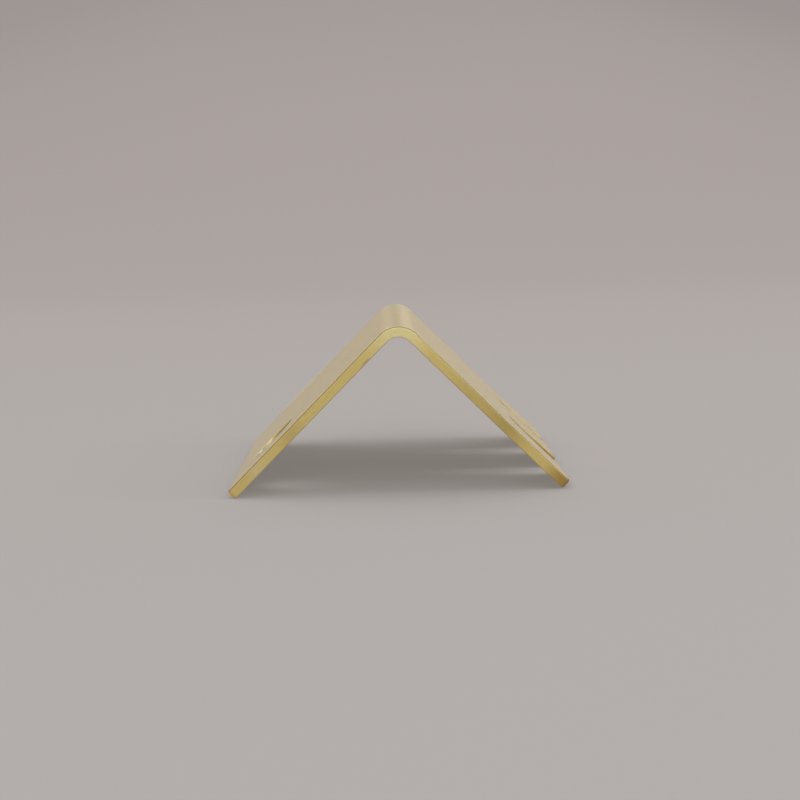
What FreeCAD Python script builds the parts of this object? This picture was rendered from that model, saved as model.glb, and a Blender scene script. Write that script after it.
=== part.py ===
"""Tab pull: one brass sheet folded once, with a drilled tab leg and a slotted leg, on its leg ends."""
import FreeCAD, Part
import math
import os
import Sketcher

# Driving sizes in millimetres
SIZES = [
    ("sheet_thick", 1.25, "thickness of the sheet"),
    ("pull_width", 50.0, "width of the sheet, along the fold"),
    ("tab_leg", 28.4, "outer length of the tab leg, from the sharp corner of the fold"),
    ("slotted_leg", 27.75, "outer length of the slotted leg, from the sharp corner of the fold"),
    ("fold_radius", 1.85, "inside radius of the fold"),
    ("corner_radius", 0.4, "plan radius of the near tab corner and of the prong tips"),
    ("far_tab_radius", 4.0, "plan radius of the tab leg's far corner"),
    ("edge_break", 0.2, "radius worn on the sheared rims"),
    ("hole_diameter", 6.8, "round hole in the tab leg"),
    ("hole_from_end", 6.8, "hole centre from the end of the tab leg"),
    ("hole_from_side", 10.4, "hole centre from the near side of the sheet"),
    ("slot_width", 5.4, "width of each open slot"),
    ("slot_depth", 8.45, "depth of each slot, from the leg end to the round blind end"),
    ("slot_pitch", 19.4, "distance between the two slot centres"),
    ("cut_past", 2.0, "how far a slot sketch runs past the leg end"),
]

NODE = "tab_pull"
SHARP_ANGLE = math.radians(45.0)
LEVEL = 1.0e-6
QUARTER = math.pi / 2

# Points of a sketch element, then the sketch's own origin and axes
START = 1
END = 2
CENTRE = 3
ORIGIN = -1
ACROSS = -1
UPRIGHT = -2

doc = FreeCAD.newDocument("TabPull")

sheet = doc.addObject("Spreadsheet::Sheet", "Sizes")
for row, (alias, number, what) in enumerate(SIZES, start=1):
    sheet.set("A%d" % row, what)
    sheet.set("B%d" % row, str(number))
    sheet.setAlias("B%d" % row, alias)
doc.recompute()


def size(alias):
    """Number held by a cell of the sheet."""
    return float(sheet.get(alias))


def dimension(sketch, name, formula, *constraint):
    """Add a dimension to a sketch, name it and tie it to the sheet."""
    index = sketch.addConstraint(Sketcher.Constraint(*constraint))
    sketch.renameConstraint(index, name)
    sketch.setExpression("Constraints." + name, formula)


def plane(owner, role):
    """Origin plane of a body, found by its role."""
    return [item for item in owner.Origin.OriginFeatures if item.Role == role][0]


def new_sketch(owner, role, name):
    """Empty sketch on one of the body's own origin planes."""
    sketch = owner.newObject("Sketcher::SketchObject", name)
    sketch.AttachmentSupport = [(plane(owner, role), "")]
    sketch.MapMode = "FlatFace"
    return sketch


def line(sketch, start, end):
    """Line between two sketch points, given as pairs; returns its index."""
    first = FreeCAD.Vector(start[0], start[1], 0)
    last = FreeCAD.Vector(end[0], end[1], 0)
    return sketch.addGeometry(Part.LineSegment(first, last), False)


def circle(centre, radius):
    """Circle in the sketch plane about a point given as a pair."""
    middle = FreeCAD.Vector(centre[0], centre[1], 0)
    return Part.Circle(middle, FreeCAD.Vector(0, 0, 1), radius)


def arc(sketch, centre, radius, begin, end):
    """Arc from one angle to another, anticlockwise, in radians; returns its index."""
    return sketch.addGeometry(Part.ArcOfCircle(circle(centre, radius), begin, end), False)


def face_normal(face, point):
    """Outward normal of a face at a point that lies on it."""
    u, v = face.Surface.parameter(point)
    return face.normalAt(u, v)


def middle_of(edge):
    """Point halfway along an edge."""
    return edge.valueAt((edge.FirstParameter + edge.LastParameter) / 2)


body = doc.addObject("PartDesign::Body", "FoldedSheet")
body.Label = NODE

# Section of the folded sheet
# The sharp corner of the fold is the body's origin. The tab leg runs along -X with its outer face up,
# and the slotted leg runs down along -Z with its outer face towards +X.
wall = size("sheet_thick")
tab = size("tab_leg")
drop = size("slotted_leg")
bend_in = size("fold_radius")
bend_out = bend_in + wall
bend_centre = (-bend_out, -bend_out)

section = new_sketch(body, "XZ_Plane", "Section")
tab_top = line(section, (-tab, 0), (-bend_out, 0))
fold_out = arc(section, bend_centre, bend_out, 0, QUARTER)
drop_out = line(section, (0, -bend_out), (0, -drop))
drop_end = line(section, (0, -drop), (-wall, -drop))
drop_in = line(section, (-wall, -drop), (-wall, -bend_out))
fold_in = arc(section, bend_centre, bend_in, 0, QUARTER)
tab_under = line(section, (-bend_out, -wall), (-tab, -wall))
tab_end = line(section, (-tab, -wall), (-tab, 0))
for kind, one, one_point, other, other_point in [
    ("Tangent", tab_top, END, fold_out, END),
    ("Tangent", fold_out, START, drop_out, START),
    ("Coincident", drop_out, END, drop_end, START),
    ("Coincident", drop_end, END, drop_in, START),
    ("Tangent", drop_in, END, fold_in, START),
    ("Tangent", fold_in, END, tab_under, START),
    ("Coincident", tab_under, END, tab_end, START),
    ("Coincident", tab_end, END, tab_top, START),
    ("Coincident", fold_out, CENTRE, fold_in, CENTRE),
]:
    section.addConstraint(Sketcher.Constraint(kind, one, one_point, other, other_point))
for flat in (tab_top, drop_end, tab_under):
    section.addConstraint(Sketcher.Constraint("Horizontal", flat))
for tall in (drop_out, drop_in, tab_end):
    section.addConstraint(Sketcher.Constraint("Vertical", tall))
section.addConstraint(Sketcher.Constraint("PointOnObject", tab_top, START, ACROSS))
section.addConstraint(Sketcher.Constraint("PointOnObject", drop_out, END, UPRIGHT))
dimension(section, "tab", "Sizes.tab_leg", "DistanceX", tab_top, START, ORIGIN, START, tab)
dimension(section, "drop", "Sizes.slotted_leg", "DistanceY", drop_out, END, ORIGIN, START, drop)
dimension(section, "wall", "Sizes.sheet_thick", "Distance", drop_end, wall)
dimension(section, "bend", "Sizes.fold_radius", "Radius", fold_in, bend_in)

folded = body.newObject("PartDesign::Pad", "Folded")
folded.Profile = section
folded.SideType = "Symmetric"
folded.setExpression("Length", "Sizes.pull_width")
doc.recompute()
volumes = [("folded sheet", body.Shape.Volume)]

# Round hole through the tab leg, near its end and to the near side
hole_along = tab - size("hole_from_end")
hole_over = size("pull_width") / 2 - size("hole_from_side")
hole_across = size("hole_diameter")

hole_plan = new_sketch(body, "XY_Plane", "HolePlan")
ring = hole_plan.addGeometry(circle((-hole_along, -hole_over), hole_across / 2), False)
dimension(hole_plan, "along", "Sizes.tab_leg - Sizes.hole_from_end",
          "DistanceX", ring, CENTRE, ORIGIN, START, hole_along)
dimension(hole_plan, "over", "Sizes.pull_width / 2 - Sizes.hole_from_side",
          "DistanceY", ring, CENTRE, ORIGIN, START, hole_over)
dimension(hole_plan, "bore", "Sizes.hole_diameter", "Diameter", ring, hole_across)

drilled = body.newObject("PartDesign::Pocket", "Drilled")
drilled.Profile = hole_plan
drilled.Type = "ThroughAll"
doc.recompute()
volumes.append(("hole", body.Shape.Volume))

# One open slot in the other leg, with a round blind end, then its mirror image
slot_over = size("slot_pitch") / 2
slot_round = size("slot_width") / 2
round_down = drop - size("slot_depth") + slot_round
mouth_down = drop + size("cut_past")
near_side = slot_over - slot_round
far_side = slot_over + slot_round

slot_plan = new_sketch(body, "YZ_Plane", "SlotPlan")
near_wall = line(slot_plan, (near_side, -mouth_down), (near_side, -round_down))
blind_end = arc(slot_plan, (slot_over, -round_down), slot_round, 0, math.pi)
far_wall = line(slot_plan, (far_side, -round_down), (far_side, -mouth_down))
mouth = line(slot_plan, (far_side, -mouth_down), (near_side, -mouth_down))
slot_plan.addConstraint(Sketcher.Constraint("Tangent", near_wall, END, blind_end, END))
slot_plan.addConstraint(Sketcher.Constraint("Tangent", blind_end, START, far_wall, START))
slot_plan.addConstraint(Sketcher.Constraint("Coincident", far_wall, END, mouth, START))
slot_plan.addConstraint(Sketcher.Constraint("Coincident", mouth, END, near_wall, START))
slot_plan.addConstraint(Sketcher.Constraint("Vertical", near_wall))
slot_plan.addConstraint(Sketcher.Constraint("Vertical", far_wall))
slot_plan.addConstraint(Sketcher.Constraint("Horizontal", mouth))
dimension(slot_plan, "over", "Sizes.slot_pitch / 2",
          "DistanceX", ORIGIN, START, blind_end, CENTRE, slot_over)
dimension(slot_plan, "round", "Sizes.slot_width / 2", "Radius", blind_end, slot_round)
dimension(slot_plan, "blind", "Sizes.slotted_leg - Sizes.slot_depth + Sizes.slot_width / 2",
          "DistanceY", blind_end, CENTRE, ORIGIN, START, round_down)
dimension(slot_plan, "past", "Sizes.slotted_leg + Sizes.cut_past",
          "DistanceY", mouth, START, ORIGIN, START, mouth_down)

slotted = body.newObject("PartDesign::Pocket", "Slotted")
slotted.Profile = slot_plan
slotted.Type = "ThroughAll"
doc.recompute()
volumes.append(("first slot", body.Shape.Volume))

slots = body.newObject("PartDesign::Mirrored", "SlotPair")
slots.Originals = [slotted]
slots.MirrorPlane = (plane(body, "XZ_Plane"), [""])
body.Tip = slots
doc.recompute()
volumes.append(("second slot", body.Shape.Volume))


def is_tab_corner(edge):
    """True for an edge that crosses the sheet's thickness at the end of the tab leg."""
    box = edge.BoundBox
    return abs(box.XMax + tab) < LEVEL and box.YLength < LEVEL


def is_far_tab_corner(edge):
    """True for the tab corner away from the hole."""
    return is_tab_corner(edge) and edge.BoundBox.YMin > 0


def is_small_corner(edge):
    """True for the tab corner beside the hole and for the corners of the prongs."""
    box = edge.BoundBox
    at_drop_end = abs(box.ZMax + drop) < LEVEL and box.YLength < LEVEL
    near_tab = is_tab_corner(edge) and box.YMax < 0
    return near_tab or at_drop_end


def is_worn_rim(edge):
    """True for a sharp edge of the outline; the drilled hole's rims stay crisp."""
    faces = corners.Shape.ancestorsOfType(edge, Part.Face)
    if edge.isClosed() or len(faces) < 2:
        return False
    point = middle_of(edge)
    turn = face_normal(faces[0], point).getAngle(face_normal(faces[1], point))
    return turn > SHARP_ANGLE


def round_over(base, name, formula, wanted):
    """Fillet the edges of a feature that a test picks out."""
    picked = []
    for number, edge in enumerate(base.Shape.Edges, start=1):
        if wanted(edge):
            picked.append("Edge%d" % number)
    fillet = body.newObject("PartDesign::Fillet", name)
    fillet.Base = (base, picked)
    fillet.setExpression("Radius", formula)
    body.Tip = fillet
    doc.recompute()
    volumes.append((name, body.Shape.Volume))
    return fillet


# Leg corners and prong tips, then the worn rims all round the outline
far_corner = round_over(slots, "FarCorner", "Sizes.far_tab_radius", is_far_tab_corner)
corners = round_over(far_corner, "Corners", "Sizes.corner_radius", is_small_corner)
rims = round_over(corners, "Rims", "Sizes.edge_break", is_worn_rim)

# Standing pose: both leg ends on the ground, the box centred over the origin
# The fold is square, so the lean follows from the two inner leg lengths.
LEAN = "atan((Sizes.slotted_leg - Sizes.sheet_thick) / (Sizes.tab_leg - Sizes.sheet_thick))"
SIDEWAYS = "(Sizes.tab_leg * cos({0}) - Sizes.slotted_leg * sin({0})) / 2"
CREST = ("Sizes.tab_leg * sin({0}) + Sizes.sheet_thick * cos({0})"
         " - Sizes.edge_break * (sin({0}) + cos({0}) - 1)")
lean = math.degrees(math.atan2(drop - wall, tab - wall))
body.Placement = FreeCAD.Placement(FreeCAD.Vector(), FreeCAD.Rotation(FreeCAD.Vector(0, -1, 0), lean))
body.setExpression("Placement.Rotation.Angle", LEAN)
body.setExpression("Placement.Base.x", SIDEWAYS.format(LEAN))
body.setExpression("Placement.Base.z", CREST.format(LEAN))
doc.recompute()

# Every object is sound, and every feature took material away
for item in doc.Objects:
    if "Invalid" in item.State or "Error" in item.State:
        raise RuntimeError("%s failed: %s" % (item.Label, item.State))
for (before, more), (after, less) in zip(volumes, volumes[1:]):
    if not less < more:
        raise RuntimeError("%s removed nothing after %s" % (after, before))
shape = body.Shape
if shape.isNull() or not shape.isValid() or len(shape.Solids) != 1:
    raise RuntimeError("the folded sheet is not one valid solid")

os.makedirs("parts", exist_ok=True)
shape.exportStep("parts/%s.step" % NODE)
box = shape.optimalBoundingBox()
print("box %.3f..%.3f  %.3f..%.3f  %.3f..%.3f" % (box.XMin, box.XMax, box.YMin, box.YMax, box.ZMin, box.ZMax))
print("volume %.2f mm3, %d faces" % (shape.Volume, len(shape.Faces)))
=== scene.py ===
"""Tab pull: one brass sheet folded once at a right angle, standing like a tent on a pale paper sweep."""

import logging
import math
from dataclasses import dataclass, field
from enum import Enum
from typing import Any

import bpy
import numpy as np
from mathutils import Matrix


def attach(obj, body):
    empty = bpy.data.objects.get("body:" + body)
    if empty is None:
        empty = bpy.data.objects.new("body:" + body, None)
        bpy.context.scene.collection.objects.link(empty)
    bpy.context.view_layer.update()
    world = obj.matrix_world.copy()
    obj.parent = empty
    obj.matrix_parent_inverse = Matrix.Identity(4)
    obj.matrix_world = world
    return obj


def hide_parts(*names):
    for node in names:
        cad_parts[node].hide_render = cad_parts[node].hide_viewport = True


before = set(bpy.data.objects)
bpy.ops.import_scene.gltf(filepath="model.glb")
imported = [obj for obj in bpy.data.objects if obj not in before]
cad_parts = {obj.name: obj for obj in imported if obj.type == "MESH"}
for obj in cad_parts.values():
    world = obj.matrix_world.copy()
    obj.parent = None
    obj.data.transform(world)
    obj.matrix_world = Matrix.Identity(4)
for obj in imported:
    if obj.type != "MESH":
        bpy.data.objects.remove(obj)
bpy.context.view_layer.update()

logging.basicConfig(level=logging.INFO, format="%(message)s")
log = logging.getLogger("tab_pull")

MM = 0.001
QUARTER_TURN = math.pi / 2
HALF_TURN = math.pi
BODY = "root"
NODE = "tab_pull"
FLAT_ATTRIBUTE = "flat_pattern"
PICTURE_PIXELS = 800
SENSOR_WIDTH = 36.0

Array = np.ndarray
Socket = bpy.types.NodeSocket
Colour = tuple[float, float, float]


class Side(Enum):
    """The two faces of the sheet, with the sign of their normal."""

    OUTER = 1.0
    INNER = -1.0


def rgba(colour: Colour) -> tuple[float, float, float, float]:
    """Colour with full opacity."""
    return (*colour, 1.0)


def linked(name: str, data: bpy.types.ID) -> bpy.types.Object:
    """New object in the scene, at the origin."""
    made = bpy.data.objects.new(name, data)
    bpy.context.scene.collection.objects.link(made)
    return made


def stance(right: Array, up: Array, back: Array, place: Array) -> Matrix:
    """Matrix of an object from its three axes and its place."""
    rows = np.column_stack((right, up, back, place))
    return Matrix([*rows.tolist(), [0.0, 0.0, 0.0, 1.0]])


def grid_quads(rows: int, columns: int) -> Array:
    """Corner indices of the quads of a grid of points.

    The quad at row i and column j joins the points (i, j), (i, j + 1), (i + 1, j + 1) and (i + 1, j).

    Args:
        rows: points down the grid.
        columns: points across the grid.

    Returns:
        One row of four indices for each quad.
    """
    index = np.arange(rows * columns).reshape(rows, columns)
    corners = (index[:-1, :-1], index[:-1, 1:], index[1:, 1:], index[1:, :-1])
    return np.stack(corners, axis=-1).reshape(-1, 4)


def ruled(start: Array, stop: Array, steps: int) -> Array:
    """Ruled patch between two edge curves of the flat pattern.

    Point (i, j) lies the fraction i / steps of the straight way from start[j] to stop[j].

    Args:
        start: edge curve, one (along, across) pair for each column.
        stop: opposite edge curve with the same columns.
        steps: rows of quads.

    Returns:
        Grid of (along, across) pairs.
    """
    part = np.linspace(0.0, 1.0, steps + 1)[:, None, None]
    return start[None] * (1.0 - part) + stop[None] * part


@dataclass
class MeshStack:
    """Gathers grids of points, normals and flat coordinates, and welds them into one mesh."""

    weld: float = 1.0e-7
    points: list[Array] = field(default_factory=list)
    normals: list[Array] = field(default_factory=list)
    flats: list[Array] = field(default_factory=list)
    quads: list[Array] = field(default_factory=list)
    count: int = 0

    def add(self, points: Array, normals: Array, flats: Array) -> None:
        """Add one grid.

        Args:
            points: positions in metres, rows by columns by three.
            normals: outward unit normals of the same shape.
            flats: flat coordinates of the same shape.
        """
        rows, columns = points.shape[:2]
        self.quads.append(grid_quads(rows, columns) + self.count)
        for store, values in ((self.points, points), (self.normals, normals), (self.flats, flats)):
            store.append(values.reshape(-1, 3))
        self.count += rows * columns

    def mesh(self, name: str) -> bpy.types.Mesh:
        """Weld equal points, turn every quad outwards and fill a mesh.

        A quad is outward when the cross product of its diagonals agrees with the sum of its corner normals.

        Args:
            name: name of the mesh.

        Returns:
            The finished mesh with its own normals and its flat coordinates as an attribute.
        """
        points, normals, flats = (np.concatenate(v) for v in (self.points, self.normals, self.flats))
        keys = np.round(points / self.weld).astype(np.int64)
        _, first, inverse = np.unique(keys, axis=0, return_index=True, return_inverse=True)
        quads = inverse.reshape(-1)[np.concatenate(self.quads)]
        points, normals, flats = points[first], normals[first], flats[first]
        diagonals = (points[quads[:, 2]] - points[quads[:, 0]], points[quads[:, 3]] - points[quads[:, 1]])
        facing = np.einsum("ij,ij->i", np.cross(*diagonals), normals[quads].sum(axis=1))
        quads = np.where(facing[:, None] < 0.0, quads[:, ::-1], quads)
        mesh = bpy.data.meshes.new(name)
        mesh.from_pydata(points, [], quads)
        mesh.shade_smooth()
        flat = mesh.attributes.new(FLAT_ATTRIBUTE, "FLOAT_VECTOR", "POINT")
        flat.data.foreach_set("vector", flats.astype(np.float32).ravel())
        mesh.normals_split_custom_set_from_vertices(normals)
        mesh.validate()
        return mesh


@dataclass(frozen=True)
class Ramp:
    """A smooth step: values from low to high become values from start to stop, and are held beyond."""

    low: float
    high: float
    start: float = 0.0
    stop: float = 1.0


@dataclass
class NodeBench:
    """Lays out the nodes of one material."""

    tree: bpy.types.NodeTree

    def add(self, kind: str, settings: dict[str, Any] | None = None, **inputs: Any) -> bpy.types.Node:
        """Add a node.

        Args:
            kind: node type without the ShaderNode prefix.
            settings: node properties.
            **inputs: values or output sockets for the inputs, with _ for a space in a name and iN for
                input N.

        Returns:
            The node.
        """
        node = self.tree.nodes.new("ShaderNode" + kind)
        for key, value in (settings or {}).items():
            setattr(node, key, value)
        for key, value in inputs.items():
            numbered = key[0] == "i" and key[1:].isdigit()
            socket = node.inputs[int(key[1:])] if numbered else node.inputs[key.replace("_", " ")]
            if isinstance(value, bpy.types.NodeSocket):
                self.tree.links.new(value, socket)
            else:
                socket.default_value = value
        return node

    def math(self, operation: str, first: Any, second: Any = 0.0) -> Socket:
        """Result of one sum on two values."""
        return self.add("Math", {"operation": operation}, i0=first, i1=second).outputs[0]

    def product(self, first: Any, *others: Any) -> Socket:
        """Product of two or more values."""
        for other in others:
            first = self.math("MULTIPLY", first, other)
        return first

    def largest(self, first: Any, *others: Any) -> Socket:
        """Largest of two or more values."""
        for other in others:
            first = self.math("MAXIMUM", first, other)
        return first

    def mix(self, amount: Any, under: Any, over: Any) -> Socket:
        """Colour between two colours."""
        return self.add("Mix", {"data_type": "RGBA"}, i0=amount, i6=under, i7=over).outputs[2]

    def span(self, value: Any, ramp: Ramp) -> Socket:
        """Value moved along a ramp."""
        ends = {"i1": ramp.low, "i2": ramp.high, "i3": ramp.start, "i4": ramp.stop}
        return self.add("MapRange", {"interpolation_type": "SMOOTHSTEP"}, i0=value, **ends).outputs[0]

    def bump(self, height: Socket, distance: float, normal: Socket | None = None) -> Socket:
        """Normal raised by a grey value, on top of another normal where one is given."""
        under = {} if normal is None else {"Normal": normal}
        return self.add("Bump", None, Strength=1.0, Distance=distance, Height=height, **under).outputs[0]


def new_material(name: str) -> tuple[bpy.types.Material, NodeBench, bpy.types.Node]:
    """Empty node material.

    Args:
        name: name of the material.

    Returns:
        The material, a bench on its nodes and its output node.
    """
    material = bpy.data.materials.new(name)
    material.use_nodes = True
    material.node_tree.nodes.clear()
    bench = NodeBench(material.node_tree)
    return material, bench, bench.add("OutputMaterial")


@dataclass(frozen=True)
class FlatPlace:
    """The flat pattern as a material reads it, in millimetres: whole, along, across and inwards."""

    flat: Socket
    along: Socket
    across: Socket
    depth: Socket

    @classmethod
    def read(cls, bench: NodeBench) -> "FlatPlace":
        """Sockets of the mesh's own attribute."""
        flat = bench.add("Attribute", {"attribute_name": FLAT_ATTRIBUTE}).outputs["Vector"]
        return cls(flat, *bench.add("SeparateXYZ", None, Vector=flat).outputs)


@dataclass(frozen=True)
class Grain:
    """A cloud pattern on the flat pattern, stretched by how often it changes per millimetre each way."""

    along: float
    across: float
    depth: float
    detail: float
    roughness: float = 0.6

    def value(self, bench: NodeBench, flat: Socket) -> Socket:
        """Grey value of the pattern."""
        often = (self.along, self.across, self.depth)
        place = bench.add("Mapping", None, Vector=flat, Scale=often).outputs["Vector"]
        fine = {"Detail": self.detail, "Roughness": self.roughness}
        return bench.add("TexNoise", None, Vector=place, Scale=1.0, **fine).outputs["Fac"]


@dataclass(frozen=True)
class Mark:
    """A soft spot on the flat pattern, for wear and for painted highlights and shade: its middle and reach in
    millimetres, and its strength.
    """

    along: float
    across: float
    depth: float
    reach_along: float
    reach_across: float
    reach_depth: float
    strength: float = 1.0

    def mask(self, bench: NodeBench, flat: Socket) -> Socket:
        """Grey value that is the strength in the middle of the mark and falls to nothing at its reach.

        Args:
            bench: where the nodes go.
            flat: flat pattern coordinates.

        Returns:
            The mask.
        """
        middle = (self.along, self.across, self.depth)
        reach = (1.0 / self.reach_along, 1.0 / self.reach_across, 1.0 / self.reach_depth)
        from_middle = bench.add("VectorMath", {"operation": "SUBTRACT"}, i0=flat, i1=middle).outputs[0]
        scaled = bench.add("VectorMath", {"operation": "MULTIPLY"}, i0=from_middle, i1=reach).outputs[0]
        distance = bench.add("VectorMath", {"operation": "LENGTH"}, i0=scaled).outputs["Value"]
        return bench.span(distance, Ramp(0.0, 1.0, self.strength, 0.0))


@dataclass(frozen=True)
class BrassMasks:
    """Grey values that the brass is mixed by: its patterns, and the places that differ from its faces."""

    cloud: Socket
    face_grain: Socket
    edge_grain: Socket
    edges: Socket
    line: Socket
    sheen_strip: Socket
    slots: Socket
    burnish_and_glint: Socket


@dataclass(frozen=True)
class SatinBrass:
    """Satin brass sheet: lacquered faces with a fine grain along the fold, and sheared edges with their own.

    Marks and ramps along, across and inwards are in millimetres of the flat pattern. The sheet is 1.25 thick
    and its long sides lie 25 from the middle.
    """

    name: str = "satin_brass"
    face: Colour = (0.90, 0.74, 0.31)
    face_dull: Colour = (0.85, 0.69, 0.27)
    edge: Colour = (0.90, 0.72, 0.27)
    edge_dull: Colour = (0.81, 0.63, 0.215)
    # painted light: the slotted leg's faces are made lighter where more light falls on them
    lit_leg_face: Colour = (0.97, 0.805, 0.355)
    # painted sheen: pale colour of the strip along the near side
    sheen_face: Colour = (0.99, 0.845, 0.44)
    # painted highlight on the hole's lower wall
    hole_highlight: Colour = (1.0, 0.96, 0.78)
    # painted highlight on the edges round the fold
    pale: Colour = (1.0, 0.88, 0.43)
    tarnish: Colour = (0.57, 0.436, 0.134)
    # painted shade where the near prong tip meets the floor
    foot_shade_tone: Colour = (0.50, 0.315, 0.083)
    # painted shade in the slot walls and on their rims
    slot_wall_shade: Colour = (0.52, 0.37, 0.13)
    slot_rim_shade: Colour = (0.63, 0.52, 0.27)
    # painted glint: yellow of the burnished patch on the tab's far side
    glint_yellow: Colour = (0.90, 0.70, 0.19)
    inner: Colour = (0.70, 0.61, 0.38)
    # dark colour of the rim line and the nick, also used as painted shade in the hole's upper wall
    dark_mark_and_shade: Colour = (0.16, 0.10, 0.03)
    edge_roughness: float = 0.34
    line_roughness: float = 0.55
    burnish_roughness: float = 0.56
    slot_roughness: float = 0.60
    face_relief: float = 0.00008
    edge_relief: float = 0.004
    burnish_swell: float = 0.35
    lacquer: float = 0.5
    lacquer_roughness: float = 0.2
    side_at: float = 25.0
    sheen_slope: float = 0.46
    sheen_width: float = 1.0
    cloud: Grain = Grain(0.16, 0.16, 0.16, 4.0, 0.55)
    face_grain: Grain = Grain(8.0, 0.12, 1.0, 3.0)
    edge_grain: Grain = Grain(0.30, 4.0, 10.0, 3.0)
    speckle: Grain = Grain(1.5, 3.0, 5.0, 2.0)
    edge_in: Ramp = Ramp(0.08, 0.16)
    edge_out: Ramp = Ramp(1.19, 1.23, 1.0, 0.0)
    line_in: Ramp = Ramp(0.008, 0.03)
    line_out: Ramp = Ramp(0.12, 0.17, 0.82, 0.0)
    line_sides: Ramp = Ramp(24.2, 24.7)
    sheen_border: Ramp = Ramp(-3.0, 3.0, 1.0, 0.0)
    slot_in: Ramp = Ramp(0.002, 0.02)
    slot_sides: Ramp = Ramp(23.0, 24.0, 1.0, 0.0)
    slot_from: Ramp = Ramp(4.0, 6.0)
    slot_to_tip: Ramp = Ramp(18.0, 25.0, 0.3, 1.0)
    slot_to_far: Ramp = Ramp(-2.0, 2.0, 1.0, 0.4)
    inner_from: Ramp = Ramp(0.75, 1.25)
    bright_from: Ramp = Ramp(0.0, 5.0)
    # reach of the painted highlight round the fold
    fold_highlight_reach: Ramp = Ramp(1.0, 6.0, 1.0, 0.0)
    dull_cloud: Ramp = Ramp(0.35, 0.7)
    dull_grain: Ramp = Ramp(0.3, 0.7, 0.0, 0.4)
    dull_edge: Ramp = Ramp(0.3, 0.75)
    dark_speckle: Ramp = Ramp(0.45, 0.8, 0.0, 0.35)
    sheen_rough: Ramp = Ramp(0.0, 1.0, 0.30, 0.28)
    grain_rough: Ramp = Ramp(0.3, 0.7, 0.93, 1.07)
    cloud_rough: Ramp = Ramp(0.3, 0.7, 0.95, 1.05)
    # burnished patch, rougher and swollen, painted with a yellow glint
    burnish_and_glint: Mark = Mark(-17.5, 25.0, 0.0, 12.0, 7.0, 1.0)
    upper_stain: Mark = Mark(12.6, -25.0, 0.6, 6.5, 3.0, 3.0, 0.45)
    stain: Mark = Mark(17.2, -25.0, 0.6, 4.6, 3.0, 3.0, 0.85)
    # painted shade at the near prong tip by the floor
    foot_shade: Mark = Mark(26.6, -25.0, 0.6, 3.6, 3.0, 3.0, 0.95)
    # painted highlight on the hole's lower wall
    hole_shine: Mark = Mark(-23.4, -14.6, 0.6, 2.9, 14.0, 6.0)
    # painted shade in the hole's upper wall
    hole_shade: Mark = Mark(-17.7, -14.6, 0.6, 3.5, 14.0, 6.0)
    nick: Mark = Mark(-5.8, -25.0, 1.08, 1.1, 1.0, 0.13, 0.5)

    def edge_mask(self, bench: NodeBench, place: FlatPlace) -> Socket:
        """Grey value that is one on the sheared edges and nothing on the two faces."""
        return bench.product(bench.span(place.depth, self.edge_in), bench.span(place.depth, self.edge_out))

    def line_mask(self, bench: NodeBench, place: FlatPlace) -> Socket:
        """Grey value of the thin dark line in the outer rim of the two long sides."""
        sides = bench.span(bench.math("ABSOLUTE", place.across), self.line_sides)
        below, above = bench.span(place.depth, self.line_in), bench.span(place.depth, self.line_out)
        return bench.product(below, above, sides)

    def sheen_strip_mask(self, bench: NodeBench, place: FlatPlace) -> Socket:
        """Grey value of the painted sheen strip along the near side, a wedge that widens down the slotted
        leg.

        The strip is as wide as the way along times its slope, or its least width if that is more, and its
        border is soft.

        Args:
            bench: where the nodes go.
            place: the flat pattern.

        Returns:
            The mask.
        """
        wide = bench.largest(bench.product(place.along, self.sheen_slope), self.sheen_width)
        past = bench.math("SUBTRACT", bench.math("ADD", place.across, self.side_at), wide)
        return bench.span(past, self.sheen_border)

    def slot_mask(self, bench: NodeBench, place: FlatPlace) -> Socket:
        """Grey value of the rougher walls and rims of the slots, which carry painted shade.

        These are the places below the outer face that lie past the fold and inside the two long sides.

        Args:
            bench: where the nodes go.
            place: the flat pattern.

        Returns:
            The mask.
        """
        inside = bench.span(bench.math("ABSOLUTE", place.across), self.slot_sides)
        below = bench.span(place.depth, self.slot_in)
        above = bench.span(place.depth, self.edge_out)
        return bench.product(inside, bench.span(place.along, self.slot_from), below, above)

    def masks(self, bench: NodeBench, place: FlatPlace) -> BrassMasks:
        """All the grey values that the brass is mixed by."""
        return BrassMasks(
            cloud=self.cloud.value(bench, place.flat),
            face_grain=self.face_grain.value(bench, place.flat),
            edge_grain=self.edge_grain.value(bench, place.flat),
            edges=self.edge_mask(bench, place),
            line=self.line_mask(bench, place),
            sheen_strip=self.sheen_strip_mask(bench, place),
            slots=self.slot_mask(bench, place),
            burnish_and_glint=self.burnish_and_glint.mask(bench, place.flat),
        )

    def slot_shade_colour(self, bench: NodeBench, place: FlatPlace) -> Socket:
        """Painted shade of the slots, darkest towards the prong tips and in the near slot."""
        to_tip, to_far = bench.span(place.along, self.slot_to_tip), bench.span(place.across, self.slot_to_far)
        return bench.mix(bench.product(to_tip, to_far), rgba(self.slot_rim_shade), rgba(self.slot_wall_shade))

    def face_colour(self, bench: NodeBench, place: FlatPlace, masks: BrassMasks) -> Socket:
        """Colour of the faces: cloudy, with painted light on the slotted leg, a painted sheen strip, grain,
        and a burnished patch with a painted glint.

        Args:
            bench: where the nodes go.
            place: the flat pattern.
            masks: the grey values.

        Returns:
            The colour, which turns to the inner face's with the depth.
        """
        face = bench.mix(bench.span(masks.cloud, self.dull_cloud), rgba(self.face), rgba(self.face_dull))
        # painted light: the slotted leg's faces turn lighter past the fold
        face = bench.mix(bench.span(place.along, self.bright_from), face, rgba(self.lit_leg_face))
        # painted sheen along the near side, on a strip of slightly lower roughness
        face = bench.mix(masks.sheen_strip, face, rgba(self.sheen_face))
        face = bench.mix(bench.span(masks.face_grain, self.dull_grain), face, rgba(self.face_dull))
        # painted glint on the burnished patch
        face = bench.mix(masks.burnish_and_glint, face, rgba(self.glint_yellow))
        return bench.mix(bench.span(place.depth, self.inner_from), face, rgba(self.inner))

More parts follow.
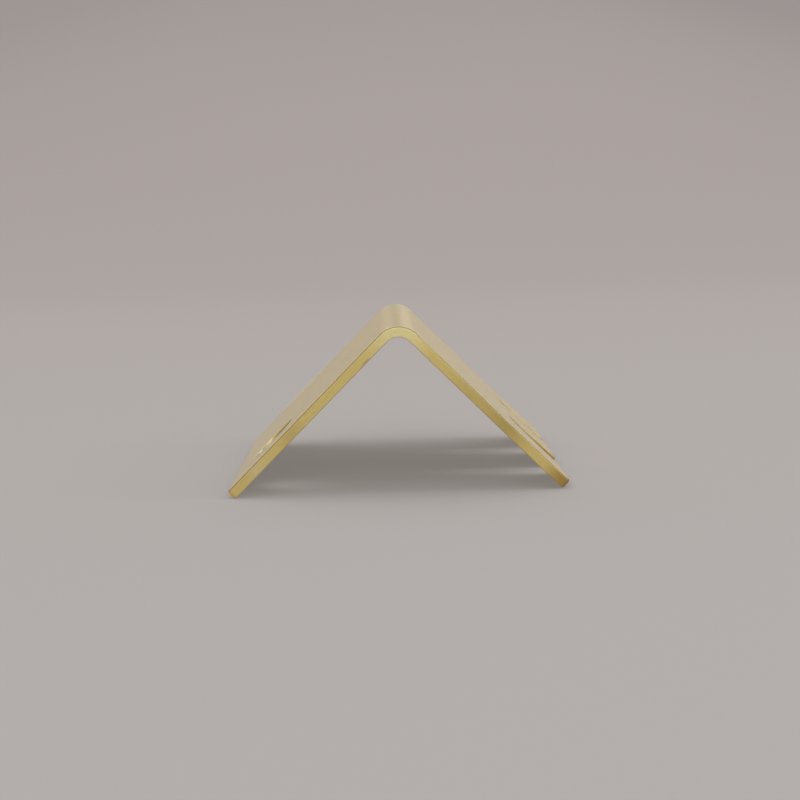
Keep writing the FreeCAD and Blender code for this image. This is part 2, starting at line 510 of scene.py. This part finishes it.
    def edge_colour(self, bench: NodeBench, place: FlatPlace, masks: BrassMasks) -> Socket:
        """Colour of the sheared edges: grained, with a painted highlight round the fold, speckled and
        stained, with painted highlight and shade in the hole and painted shade at the near prong tip.

        Args:
            bench: where the nodes go.
            place: the flat pattern.
            masks: the grey values.

        Returns:
            The colour.
        """
        edge = bench.mix(bench.span(masks.edge_grain, self.dull_edge), rgba(self.edge), rgba(self.edge_dull))
        fold = bench.span(bench.math("ABSOLUTE", place.along), self.fold_highlight_reach)
        # painted highlight on the edges round the fold
        edge = bench.mix(fold, edge, rgba(self.pale))
        speckle = bench.span(self.speckle.value(bench, place.flat), self.dark_speckle)
        edge = bench.mix(speckle, edge, rgba(self.tarnish))
        # real stains and the nick, with painted highlight and shade in the hole and painted shade at the
        # prong tip
        stains_and_painted_light = (
            (self.upper_stain, self.tarnish),
            (self.stain, self.tarnish),
            # painted shade at the near prong tip by the floor
            (self.foot_shade, self.foot_shade_tone),
            # painted highlight on the hole's lower wall
            (self.hole_shine, self.hole_highlight),
            # painted shade in the hole's upper wall
            (self.hole_shade, self.dark_mark_and_shade),
            (self.nick, self.dark_mark_and_shade),
        )
        for mark, colour in stains_and_painted_light:
            edge = bench.mix(mark.mask(bench, place.flat), edge, rgba(colour))
        return edge

    def roughness(self, bench: NodeBench, masks: BrassMasks) -> Socket:
        """Roughness of the faces and edges, changed by grain and clouds, and raised on the worn places.

        Args:
            bench: where the nodes go.
            masks: the grey values.

        Returns:
            The roughness.
        """
        level = bench.span(masks.sheen_strip, self.sheen_rough)
        level = bench.product(level, bench.span(masks.face_grain, self.grain_rough))
        level = bench.largest(level, bench.product(masks.edges, self.edge_roughness))
        level = bench.product(level, bench.span(masks.cloud, self.cloud_rough))
        return bench.largest(
            level,
            bench.product(masks.line, self.line_roughness),
            bench.product(masks.burnish_and_glint, self.burnish_roughness),
            bench.product(masks.slots, self.slot_roughness),
        )

    def relief(self, bench: NodeBench, masks: BrassMasks) -> Socket:
        """Normal with the swell of the burnished patch, the grain of the faces and the grain of the edges."""
        normal = bench.bump(masks.burnish_and_glint, self.burnish_swell * MM)
        normal = bench.bump(masks.face_grain, self.face_relief * MM, normal)
        return bench.bump(bench.product(masks.edge_grain, masks.edges), self.edge_relief * MM, normal)

    def material(self) -> bpy.types.Material:
        """Build the node material.

        Returns:
            The material, which reads the sheet's flat pattern in millimetres.
        """
        material, bench, output = new_material(self.name)
        place = FlatPlace.read(bench)
        masks = self.masks(bench, place)
        face, edge = self.face_colour(bench, place, masks), self.edge_colour(bench, place, masks)
        colour = bench.mix(masks.edges, face, edge)
        # painted shade in the slots
        colour = bench.mix(masks.slots, colour, self.slot_shade_colour(bench, place))
        # dark line in the outer rim of the long sides
        colour = bench.mix(masks.line, colour, rgba(self.dark_mark_and_shade))
        shader = bench.add(
            "BsdfPrincipled", None, Base_Color=colour, Metallic=1.0, Roughness=self.roughness(bench, masks),
            Normal=self.relief(bench, masks), Coat_Weight=self.lacquer, Coat_Roughness=self.lacquer_roughness,
        )
        bench.tree.links.new(shader.outputs["BSDF"], output.inputs["Surface"])
        return material


@dataclass(frozen=True)
class SweepPaper:
    """Matt grey-beige paper of the sweep, with painted shade that darkens it a little over the way back and
    up, in metres.
    """

    name: str = "sweep_paper"
    near: Colour = (0.464, 0.435, 0.421)
    far: Colour = (0.398, 0.355, 0.343)
    change: Ramp = Ramp(-0.40, 1.00)
    glow: float = 0.37

    def material(self) -> bpy.types.Material:
        """Build the node material.

        Returns:
            The material, which reads Object coordinates.
        """
        material, bench, output = new_material(self.name)
        place = bench.add("TexCoord").outputs["Object"]
        parts = bench.add("SeparateXYZ", None, Vector=place).outputs
        way = bench.math("ADD", parts["Y"], parts["Z"])
        # painted shade: the paper darkens over the way back and up
        colour = bench.mix(bench.span(way, self.change), rgba(self.near), rgba(self.far))
        paper = bench.add("BsdfDiffuse", None, Color=colour).outputs["BSDF"]
        shine = bench.add("Emission", None, Color=colour, Strength=1.0).outputs["Emission"]
        path = bench.add("LightPath").outputs
        seen = bench.largest(path["Is Camera Ray"], path["Is Glossy Ray"], path["Is Transmission Ray"])
        both = bench.add("MixShader", None, i0=bench.product(seen, self.glow), i1=paper, i2=shine)
        bench.tree.links.new(both.outputs["Shader"], output.inputs["Surface"])
        return material


@dataclass
class FoldedSheet:
    """The folded sheet, with sizes in millimetres.

    It is drawn on its flat pattern, where along runs from the tab end through the fold to the prong tips and
    is measured on the outer face, and across runs from the near side to the far side. The fold then bends the
    pattern.
    """

    thick: float = 1.25
    width: float = 50.0
    tab_leg: float = 28.4
    slotted_leg: float = 27.75
    fold_radius: float = 1.85
    corner_radius: float = 0.4
    far_tab_radius: float = 4.0
    outer_break: float = 0.2
    inner_break: float = 0.1
    end_break: float = 0.35
    face_inset: float = 0.36
    hole_break: float = 0.05
    hole_inset: float = 0.06
    cad_break: float = 0.2
    hole_diameter: float = 6.8
    hole_from_end: float = 6.8
    hole_from_side: float = 10.4
    slot_width: float = 5.4
    slot_depth: float = 8.45
    slot_pitch: float = 19.4
    prong_rise: tuple[float, float, float] = (0.10, 0.35, 0.33)
    rise_before_slot: float = 1.5
    corner_steps: int = 6
    far_tab_steps: int = 14
    hole_steps: int = 40
    slot_steps: int = 24
    prong_steps: tuple[int, int, int] = (14, 16, 14)
    beside_hole_steps: tuple[int, int] = (12, 56)
    end_rows: int = 12
    tab_rows: int = 16
    fold_rows: int = 28
    leg_rows: int = 18
    prong_rows: int = 8
    round_steps: int = 4

    def __post_init__(self) -> None:
        """Work out the lean, the fold and the places of the ends, hole and slots on the flat pattern."""
        self.bend = self.fold_radius + self.thick
        self.lean = math.atan2(self.slotted_leg - self.thick, self.tab_leg - self.thick)
        sine, cosine = math.sin(self.lean), math.cos(self.lean)
        self.tab_normal = np.array((-sine, cosine))
        self.slotted_normal = np.array((cosine, sine))
        crest = self.tab_leg * sine + self.thick * cosine - self.cad_break * (sine + cosine - 1.0)
        sharp = np.array(((self.tab_leg * cosine - self.slotted_leg * sine) / 2.0, crest))
        self.bend_centre = sharp - self.bend * (self.tab_normal + self.slotted_normal)
        self.half_bend = self.bend * QUARTER_TURN / 2.0
        self.tab_end = -self.half_bend - (self.tab_leg - self.bend)
        self.prong_end = self.half_bend + self.slotted_leg - self.bend
        self.hole_along = self.tab_end + self.hole_from_end
        self.hole_across = self.hole_from_side - self.width / 2.0
        self.slot_along = self.prong_end - self.slot_depth + self.slot_width / 2.0

    def placed(self, along: Array, across: Array, depth: Array) -> Array:
        """Bend points of the flat pattern into place.

        The way along is split into its part inside the fold and the rest. The part inside the fold turns the
        normal from the tab's to the slotted leg's, the point lies the bend radius less the depth from the
        fold's centre line along that normal, and the rest carries it straight on along the tangent.

        Args:
            along: distance along the outer face, in millimetres from the middle of the fold.
            across: distance along the fold.
            depth: distance in from the outer face.

        Returns:
            Positions in metres.
        """
        normal, tangent, rest = self.directions(along)
        section = self.bend_centre + (self.bend - depth)[..., None] * normal + rest[..., None] * tangent
        height = section[..., 1] + self.sprung(along, across)[0]
        return np.stack((section[..., 0], across, height), axis=-1) * MM

    def sprung(self, along: Array, across: Array) -> tuple[Array, Array]:
        """How far each prong is sprung up, and the slope of that.

        The height grows with the square of the way from a little before the slots to the tips. It is level
        across a prong and runs straight from one prong's height to the next across the slot between them.

        Args:
            along: distance along the outer face.
            across: distance along the fold.

        Returns:
            Height and its slope along the flat pattern.
        """
        start = self.prong_end - self.slot_depth - self.rise_before_slot
        part = np.clip((along - start) / (self.prong_end - start), 0.0, 1.0)
        near, half = self.slot_pitch / 2.0, self.slot_width / 2.0
        walls = (-near - half, -near + half, near - half, near + half)
        first, second, third = self.prong_rise
        tip = np.interp(across, walls, (first, second, second, third))
        return tip * part ** 2, tip * 2.0 * part / (self.prong_end - start)

    def directions(self, along: Array) -> tuple[Array, Array, Array]:
        """Section normal, section tangent and straight remainder at places along the flat pattern.

        Args:
            along: distance along the outer face.

        Returns:
            Normal and tangent as (x, z) pairs, and the distance past the fold.
        """
        inside = np.clip(along, -self.half_bend, self.half_bend)
        turn = (inside / self.bend + QUARTER_TURN / 2.0)[..., None]
        normal = np.cos(turn) * self.tab_normal + np.sin(turn) * self.slotted_normal
        tangent = np.cos(turn) * self.slotted_normal - np.sin(turn) * self.tab_normal
        return normal, tangent, along - inside

    def lifted(
        self, along: Array, across: Array, outward: Array, plan_along: Array, plan_across: Array,
    ) -> Array:
        """Unit normals from their share along the face normal and their two shares in the flat pattern.

        Where a prong is sprung, the tangent gains the slope upwards, and the normal is turned to stay square
        to it.

        Args:
            along: distance along the outer face.
            across: distance along the fold.
            outward: share along the outer face's normal.
            plan_along: share along the tangent.
            plan_across: share along the fold.

        Returns:
            Unit vectors in space.
        """
        normal, tangent, _ = self.directions(along)
        slope = self.sprung(along, across)[1][..., None]
        normal = normal * (1.0 + slope * tangent[..., 1:]) - tangent * slope * normal[..., 1:]
        section = outward[..., None] * normal + plan_along[..., None] * tangent
        vectors = np.stack((section[..., 0], plan_across, section[..., 1]), axis=-1)
        return vectors / np.linalg.norm(vectors, axis=-1, keepdims=True)

    def tab_columns(self, inset: float) -> tuple[Array, Array, Array]:
        """Edge curves of the two tab patches.

        The leg end is a straight line with a small quarter circle at the near corner and a large one at the
        far corner, drawn in by the inset. The columns that meet the hole are spaced by the cosine of its
        angle, so they divide its rim evenly.

        Args:
            inset: how far the outline is drawn in.

        Returns:
            End curve, hole curve on the end side and hole curve on the fold side, as (along, across) pairs.
        """
        near_turn = np.linspace(0.0, QUARTER_TURN, self.corner_steps + 1)
        far_turn = np.linspace(0.0, QUARTER_TURN, self.far_tab_steps + 1)
        near, far = self.corner_radius - inset, self.far_tab_radius - inset
        near_side, far_side = self.corner_radius - self.width / 2.0, self.width / 2.0 - self.far_tab_radius
        rim = self.hole_diameter / 2.0 + self.hole_inset
        angle = np.linspace(0.0, HALF_TURN, self.hole_steps + 1)
        before = np.linspace(near_side, self.hole_across - rim, self.beside_hole_steps[0] + 1)[1:-1]
        after = np.linspace(self.hole_across + rim, far_side, self.beside_hole_steps[1] + 1)[1:-1]
        round_hole = self.hole_across - rim * np.cos(angle)
        corners_across = near_side - near * np.cos(near_turn), far_side + far * np.sin(far_turn)
        across = np.concatenate((corners_across[0], before, round_hole, after, corners_across[1]))
        straight = np.full(before.size + round_hole.size + after.size, self.tab_end + inset)
        near_end = self.tab_end + self.corner_radius - near * np.sin(near_turn)
        far_end = self.tab_end + self.far_tab_radius - far * np.cos(far_turn)
        end = np.concatenate((near_end, straight, far_end))
        rise = np.zeros_like(across)
        first = near_turn.size + before.size
        rise[first:first + angle.size] = rim * np.sin(angle)
        low, high = self.hole_along - rise, self.hole_along + rise
        return tuple(np.stack((curve, across), axis=-1) for curve in (end, low, high))

    def prong_columns(self, low: float, high: float, steps: int, inset: float) -> Array:
        """End curve of one prong: a straight tip with a quarter circle at each corner.

        Args:
            low: near side of the prong.
            high: far side of the prong.
            steps: columns of quads between the corners.
            inset: how far the outline is drawn in.

        Returns:
            Curve of (along, across) pairs.
        """
        turn = np.linspace(0.0, QUARTER_TURN, self.corner_steps + 1)
        small = self.corner_radius - inset
        centre = self.prong_end - self.corner_radius
        first, last = low + self.corner_radius, high - self.corner_radius
        middle = np.linspace(first, last, steps + 1)[1:-1]
        across = np.concatenate((first - small * np.cos(turn), middle, last + small * np.sin(turn)))
        rising, falling = centre + small * np.sin(turn), centre + small * np.cos(turn)
        along = np.concatenate((rising, np.full(middle.size, centre + small), falling))
        return np.stack((along, across), axis=-1)

    def slot_columns(self, middle: float, inset: float) -> Array:
        """Round blind end of one slot, without its two end points, which belong to the prongs.

        Args:
            middle: centre line of the slot.
            inset: how far the outline is drawn in, which widens the slot.

        Returns:
            Curve of (along, across) pairs.
        """
        angle = np.linspace(0.0, HALF_TURN, self.slot_steps + 1)[1:-1]
        radius = self.slot_width / 2.0 + inset
        along, across = self.slot_along - radius * np.sin(angle), middle - radius * np.cos(angle)
        return np.stack((along, across), axis=-1)

    def patches(self, inset: float) -> dict[str, Array]:
        """Every patch of the flat pattern for one inset of the outline.

        Args:
            inset: how far the outline is drawn in.

        Returns:
            Grids of (along, across) pairs by name.
        """
        end, low, high = self.tab_columns(inset)
        half, half_slot = self.width / 2.0, self.slot_width / 2.0
        near, far = -self.slot_pitch / 2.0, self.slot_pitch / 2.0
        sides = ((-half, near - half_slot), (near + half_slot, far - half_slot), (far + half_slot, half))
        tips = [self.prong_columns(*pair, steps, inset) for pair, steps in zip(sides, self.prong_steps)]
        level = [np.stack((np.full(len(tip), self.slot_along), tip[:, 1]), axis=-1) for tip in tips]
        slots = [self.slot_columns(middle, inset) for middle in (near, far)]
        blind = np.concatenate((level[0], slots[0], level[1], slots[1], level[2]))
        halfway = (end[:, 1] + blind[:, 1]) / 2.0
        bend_in = np.stack((np.full(halfway.size, -self.half_bend), halfway), axis=-1)
        bend_out = np.stack((np.full(halfway.size, self.half_bend), halfway), axis=-1)
        made = {
            "end": ruled(end, low, self.end_rows),
            "tab": ruled(high, bend_in, self.tab_rows),
            "fold": ruled(bend_in, bend_out, self.fold_rows),
            "leg": ruled(bend_out, blind, self.leg_rows),
        }
        for number, (start, tip) in enumerate(zip(level, tips)):
            made["prong%d" % number] = ruled(start, tip, self.prong_rows)
        return made

    def outline(self, inset: float) -> Array:
        """Closed path round the sheet, drawn in by the inset.

        It runs from the near tab corner along the near side, round the prongs and slots and back.

        Args:
            inset: how far the outline is drawn in.

        Returns:
            Path of (along, across) pairs whose last point is its first.
        """
        patch = self.patches(inset)
        leg, prongs = patch["leg"], len(self.prong_steps)
        run = [patch[name][:-1, 0] for name in ("end", "tab", "fold", "leg", "prong0")]
        column = 0
        for number in range(prongs):
            prong = patch["prong%d" % number]
            column += prong.shape[1] - 1
            if number:
                run.append(prong[:-1, 0])
            run.append(prong[-1, :-1])
            if number < prongs - 1:
                run.append(prong[:0:-1, -1])
                run.append(leg[-1, column:column + self.slot_steps])
                column += self.slot_steps
        for name in ("prong2", "leg", "fold", "tab", "end"):
            run.append(patch[name][:0:-1, -1])
        run.append(patch["end"][0, ::-1])
        return np.concatenate(run)

    def hole_path(self, inset: float) -> Array:
        """Closed circle of the hole, widened by the inset.

        Args:
            inset: how far the rim is drawn back from the hole.

        Returns:
            Path of (along, across) pairs whose last point is its first.
        """
        angle = np.linspace(0.0, 2.0 * HALF_TURN, 2 * self.hole_steps + 1)
        radius = self.hole_diameter / 2.0 + inset
        along, across = self.hole_along - radius * np.sin(angle), self.hole_across - radius * np.cos(angle)
        return np.stack((along, across), axis=-1)

    def end_share(self, along: Array, way: Array) -> Array:
        """How much of a rim belongs to a leg end: one on the end, falling to nothing round its corners.

        Args:
            along: places of the rim along the flat pattern.
            way: direction out of the outline at each place.

        Returns:
            Share at each place.
        """
        at_tip = along > self.prong_end - 2.0 * self.corner_radius
        share = np.where(along < 0.0, -way[:, 0], np.where(at_tip, way[:, 0], 0.0))
        return np.clip(share, 0.0, 1.0)

    def rim_profile(self, level: float, outer: Array, inner: Array) -> tuple[Array, Array, Array, Array]:
        """Profile of a rim at each place of its path.

        It runs level from the outer face's border to the outer quarter circle, straight through the
        thickness, round the inner quarter circle and level to the inner face's border.

        Args:
            level: how far the faces' borders are drawn in.
            outer: radius of the outer quarter circle at each place.
            inner: radius of the inner quarter circle at each place.

        Returns:
            Inset, depth, share of the normal along the outer face's normal, and share out of the outline,
            each with a row for each profile point and a column for each place.
        """
        turn = np.linspace(0.0, QUARTER_TURN, self.round_steps + 1)[:, None]
        back = turn[::-1]
        border, none = np.full_like(outer, level)[None], np.zeros_like(outer)[None]
        insets = np.concatenate((border, outer * (1.0 - np.sin(turn)), inner * (1.0 - np.sin(back)), border))
        over, under = outer * (1.0 - np.cos(turn)), self.thick - inner * (1.0 - np.cos(back))
        depths = np.concatenate((none, over, under, none + self.thick))
        faces = np.concatenate((none + 1.0, np.cos(turn) + none, none - np.cos(back), none - 1.0))
        outs = np.concatenate((none, np.sin(turn) + none, np.sin(back) + none, none))
        return insets, depths, faces, outs

    def add_face(self, stack: MeshStack, side: Side) -> None:
        """Add the outer or the inner face: every patch of the flat pattern, bent at one depth.

        Args:
            stack: where the grids go.
            side: which face.
        """
        deep = 0.0 if side is Side.OUTER else self.thick
        for patch in self.patches(self.face_inset).values():
            along, across = patch[..., 0], patch[..., 1]
            depth = np.full_like(along, deep)
            still = np.zeros_like(along)
            normals = self.lifted(along, across, np.full_like(along, side.value), still, still)
            stack.add(self.placed(along, across, depth), normals, np.stack((along, across, depth), axis=-1))

    def add_rim(
        self, stack: MeshStack, path: Array, border: Array, level: float, radii: tuple[Array, Array],
    ) -> None:
        """Add a rim: the rim profile carried along a closed path of the flat pattern.

        The way from the border to the path, divided by the distance between them, is the direction out of the
        outline, and each profile point lies its inset back from the path along that way.

        Args:
            stack: where the grid goes.
            path: the outline itself.
            border: the faces' border, drawn in from the outline.
            level: how far the border is drawn in.
            radii: radius of the outer and of the inner quarter circle at each place of the path.
        """
        insets, depth, faces, outs = self.rim_profile(level, *radii)
        way = (path - border) / level
        places = path[None] - insets[..., None] * way[None]
        places[0] = places[-1] = border
        along, across = places[..., 0], places[..., 1]
        normals = self.lifted(along, across, faces, outs * way[None, :, 0], outs * way[None, :, 1])
        stack.add(self.placed(along, across, depth), normals, np.stack((along, across, depth), axis=-1))

    def add_outline_rim(self, stack: MeshStack) -> None:
        """Add the rim round the sheet, rounder at the leg ends than along the sides."""
        path, border = self.outline(0.0), self.outline(self.face_inset)
        share = self.end_share(path[:, 0], (path - border) / self.face_inset)
        outer = self.outer_break + (self.end_break - self.outer_break) * share
        inner = self.inner_break + (self.end_break - self.inner_break) * share
        self.add_rim(stack, path, border, self.face_inset, (outer, inner))

    def add_hole_rim(self, stack: MeshStack) -> None:
        """Add the crisp rim of the hole."""
        path, border = self.hole_path(0.0), self.hole_path(self.hole_inset)
        radius = np.full(len(path), self.hole_break)
        self.add_rim(stack, path, border, self.hole_inset, (radius, radius))

    def build(self) -> bpy.types.Object:
        """Make the sheet as one closed mesh.

        Returns:
            The piece, at the origin.
        """
        stack = MeshStack()
        self.add_face(stack, Side.OUTER)
        self.add_face(stack, Side.INNER)
        self.add_outline_rim(stack)
        self.add_hole_rim(stack)
        return linked("folded_sheet", stack.mesh("folded_sheet"))

    def dress(self, piece: bpy.types.Object, finish: SatinBrass) -> None:
        """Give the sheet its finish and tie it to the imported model.

        Args:
            piece: the sheet.
            finish: its brass.
        """
        piece.data.materials.append(finish.material())
        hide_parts(NODE)
        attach(piece, BODY)


@dataclass
class PaperSweep:
    """Seamless paper: a flat floor that curves up into a wall behind the pull, with sizes in metres."""

    front: float = -1.6
    curve_from: float = 0.55
    curve_radius: float = 0.9
    wall_top: float = 2.6
    half_width: float = 2.4
    curve_steps: int = 48
    flat_steps: int = 24
    width_steps: int = 24

    def build(self) -> bpy.types.Object:
        """Make the sweep: a profile of floor, quarter circle and wall, carried across the width.

        Returns:
            The sweep, which isn't part of the object.
        """
        turn = np.linspace(0.0, QUARTER_TURN, self.curve_steps + 1)
        floor = np.linspace(self.front, self.curve_from, self.flat_steps + 1)[:-1]
        wall = np.linspace(self.curve_radius, self.wall_top, self.flat_steps + 1)[1:]
        back = self.curve_from + self.curve_radius
        curve_depth = self.curve_from + self.curve_radius * np.sin(turn)
        curve_height = self.curve_radius * (1.0 - np.cos(turn))
        depth = np.concatenate((floor, curve_depth, np.full(wall.size, back)))
        height = np.concatenate((np.zeros(floor.size), curve_height, wall))
        across = np.linspace(-self.half_width, self.half_width, self.width_steps + 1)
        grid = np.stack(np.broadcast_arrays(across[None, :], depth[:, None], height[:, None]), axis=-1)
        mesh = bpy.data.meshes.new("paper_sweep")
        mesh.from_pydata(grid.reshape(-1, 3), [], grid_quads(*grid.shape[:2]))
        mesh.shade_smooth()
        piece = linked("paper_sweep", mesh)
        return piece

    def dress(self, piece: bpy.types.Object, finish: SweepPaper) -> None:
        """Give the sweep its paper."""
        piece.data.materials.append(finish.material())


@dataclass(frozen=True)
class SoftLight:
    """One white soft box, aimed at a point over the floor, with angles in degrees and sizes in metres."""

    name: str
    azimuth: float
    elevation: float
    wide: float
    tall: float
    radiance: float
    distance: float = 1.0
    aim_height: float = 0.01

    def build(self) -> bpy.types.Object:
        """Make the lamp.

        Its place is the distance from the aim at the azimuth, from +X towards +Y, and at the elevation, and
        its local -Z axis points back at the aim.

        Returns:
            The lamp.
        """
        lamp = bpy.data.lights.new(self.name, "AREA")
        lamp.shape = "RECTANGLE"
        lamp.size, lamp.size_y = self.wide, self.tall
        lamp.energy = math.pi * self.wide * self.tall * self.radiance
        turn, rise = math.radians(self.azimuth), math.radians(self.elevation)
        back = np.array((math.cos(turn) * math.cos(rise), math.sin(turn) * math.cos(rise), math.sin(rise)))
        right = np.array((-math.sin(turn), math.cos(turn), 0.0))
        up = np.cross(back, right)
        place = back * self.distance + np.array((0.0, 0.0, self.aim_height))
        lamp_object = linked(self.name, lamp)
        lamp_object.matrix_world = stance(right, up, back, place)
        return lamp_object


@dataclass(frozen=True)
class Viewpoint:
    """Camera of the photograph, with its place in metres and its turns in degrees."""

    place: tuple[float, float, float] = (-0.001023, -0.240273, 0.032993)
    pitch: float = 5.8621
    roll: float = 1.7279
    yaw: float = 0.3849
    focal_pixels: float = 1883.1
    nearest: float = 0.005

    def build(self) -> bpy.types.Object:
        """Make the camera and set it as the scene's own.

        It looks along +Y, turned by the yaw, dipped by the pitch and rolled about its own line of sight.

        Returns:
            The camera.
        """
        pitch, roll, yaw = (math.radians(angle) for angle in (self.pitch, self.roll, self.yaw))
        ahead = np.array((math.sin(yaw), math.cos(yaw), 0.0))
        forward = ahead * math.cos(pitch) - np.array((0.0, 0.0, math.sin(pitch)))
        level = np.array((math.cos(yaw), -math.sin(yaw), 0.0))
        down = np.cross(forward, level)
        right = math.cos(roll) * level + math.sin(roll) * down
        below = math.cos(roll) * down - math.sin(roll) * level
        camera = bpy.data.cameras.new("camera")
        camera.sensor_width = SENSOR_WIDTH
        camera.lens = self.focal_pixels * SENSOR_WIDTH / PICTURE_PIXELS
        camera.clip_start = self.nearest
        camera_object = linked("camera", camera)
        camera_object.matrix_world = stance(right, -below, -forward, np.array(self.place))
        bpy.context.scene.camera = camera_object
        return camera_object


@dataclass
class Studio:
    """Camera, sweep, soft boxes and the even light of the room."""

    room_colour: Colour = (0.985, 0.985, 0.985)
    room_strength: float = 0.60
    lights: tuple[SoftLight, ...] = (
        SoftLight("left_box", 145.0, 46.0, 1.25, 0.72, 0.65),
        SoftLight("top_box", 105.0, 68.0, 1.30, 0.85, 0.56),
        SoftLight("right_box", -10.0, 35.0, 0.22, 0.50, 5.7),
        SoftLight("fill_box", 268.0, 58.0, 0.90, 0.45, 0.5),
        SoftLight("front_box", 278.0, 22.0, 0.90, 0.36, 1.05),
        SoftLight("back_box", 59.0, 27.0, 0.95, 0.45, 0.86),
        SoftLight("back_mid_box", 90.0, 27.0, 0.20, 0.45, 0.21),
        SoftLight("back_left_box", 121.0, 27.0, 0.95, 0.45, 0.46),
    )

    def build(self) -> None:
        """Make the room light, the camera, the sweep and the lamps, and keep colours as they are written."""
        scene = bpy.context.scene
        scene.view_settings.view_transform = "Standard"
        world = bpy.data.worlds.new("room")
        world.use_nodes = True
        background = world.node_tree.nodes["Background"]
        background.inputs["Color"].default_value = rgba(self.room_colour)
        background.inputs["Strength"].default_value = self.room_strength
        scene.world = world
        Viewpoint().build()
        sweep = PaperSweep()
        sweep.dress(sweep.build(), SweepPaper())
        for light in self.lights:
            light.build()
            log.info("light %s", light.name)


def corners(box: Any) -> list[list[float]]:
    """Box as plain lists of numbers."""
    return [[float(number) for number in corner] for corner in box]


def main() -> None:
    """Build the studio and the pull, and report each piece."""
    Studio().build()
    sheet = FoldedSheet()
    piece = sheet.build()
    sheet.dress(piece, SatinBrass())
    log.info("piece %s: %d points, %d faces", piece.name, len(piece.data.vertices), len(piece.data.polygons))
    bpy.context.view_layer.update()


if __name__ == "__main__":
    main()
